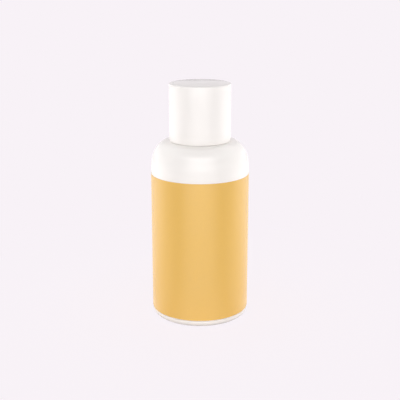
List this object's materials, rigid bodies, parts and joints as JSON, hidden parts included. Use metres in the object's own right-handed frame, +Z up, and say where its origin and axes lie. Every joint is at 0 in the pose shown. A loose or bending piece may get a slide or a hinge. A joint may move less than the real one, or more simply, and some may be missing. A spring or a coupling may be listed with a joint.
{
  "type": "airless pump bottle",
  "caption": "Round double-wall airless pump bottle with a curved shoulder, a plain wrap label and a tall pull-off cap over a press button with a side spout.",
  "frame": {"origin": "centre of the face that the bottle stands on, on the bottle's axis", "axes": "+Z up along the bottle's axis, -Y towards the side that the spout points to, +X to the right when the spout points at the viewer"},
  "size_m": [0.04, 0.04, 0.0962],
  "materials": {
    "white_gloss": "smooth glossy white plastic",
    "honey_label": "plain honey-yellow film label, satin",
    "white_satin": "satin white polypropylene",
    "natural_plastic": "uncoloured milky polypropylene",
    "soft_plastic": "soft white polyethylene",
    "acetal": "uncoloured acetal",
    "gasket_rubber": "grey rubber",
    "spring_steel": "drawn stainless steel wire",
    "polished_steel": "polished stainless steel"
  },
  "bodies": {
    "bottle": {"outer_bottle": "white_gloss", "wrap_label": "honey_label", "base_plug": "white_gloss", "inner_container": "natural_plastic", "neck_gasket": "gasket_rubber", "pump_housing": "natural_plastic", "ball_cage": "acetal", "stem_guide": "acetal", "collar": "white_satin", "return_spring": "spring_steel"},
    "follower": {"follower_piston": "soft_plastic"},
    "ball": {"inlet_ball": "polished_steel"},
    "plunger": {"pump_stem": "acetal", "piston_rod": "acetal"},
    "piston": {"sliding_piston": "soft_plastic"},
    "actuator": {"actuator_button": "white_satin", "actuator_core": "white_satin", "nozzle_insert": "acetal"},
    "overcap": {"overcap": "white_gloss", "overcap_liner": "white_satin"}
  },
  "joints": [
    {"name": "overcap_lift", "type": "slide", "parent": "bottle", "child": "overcap", "axis": [0, 0, 1], "range_m": [0, 0.03]},
    {"name": "pump_press", "type": "slide", "parent": "bottle", "child": "plunger", "axis": [0, 0, -1], "range_m": [0, 0.004], "stiffness_N_per_m": 1250, "springref_m": -0.005, "deforming": ["return_spring"]},
    {"name": "actuator_turn", "type": "hinge", "parent": "plunger", "child": "actuator", "pos_m": [0, 0, 0.09015], "axis": [0, 0, 1], "continuous": true},
    {"name": "piston_slip", "type": "slide", "parent": "plunger", "child": "piston", "axis": [0, 0, 1], "range_m": [0, 0.0008]},
    {"name": "follower_rise", "type": "slide", "parent": "bottle", "child": "follower", "axis": [0, 0, 1], "range_m": [0, 0.0447]},
    {"name": "inlet_ball_lift", "type": "slide", "parent": "bottle", "child": "ball", "axis": [0, 0, 1], "range_m": [0, 0.0008]}
  ]
}
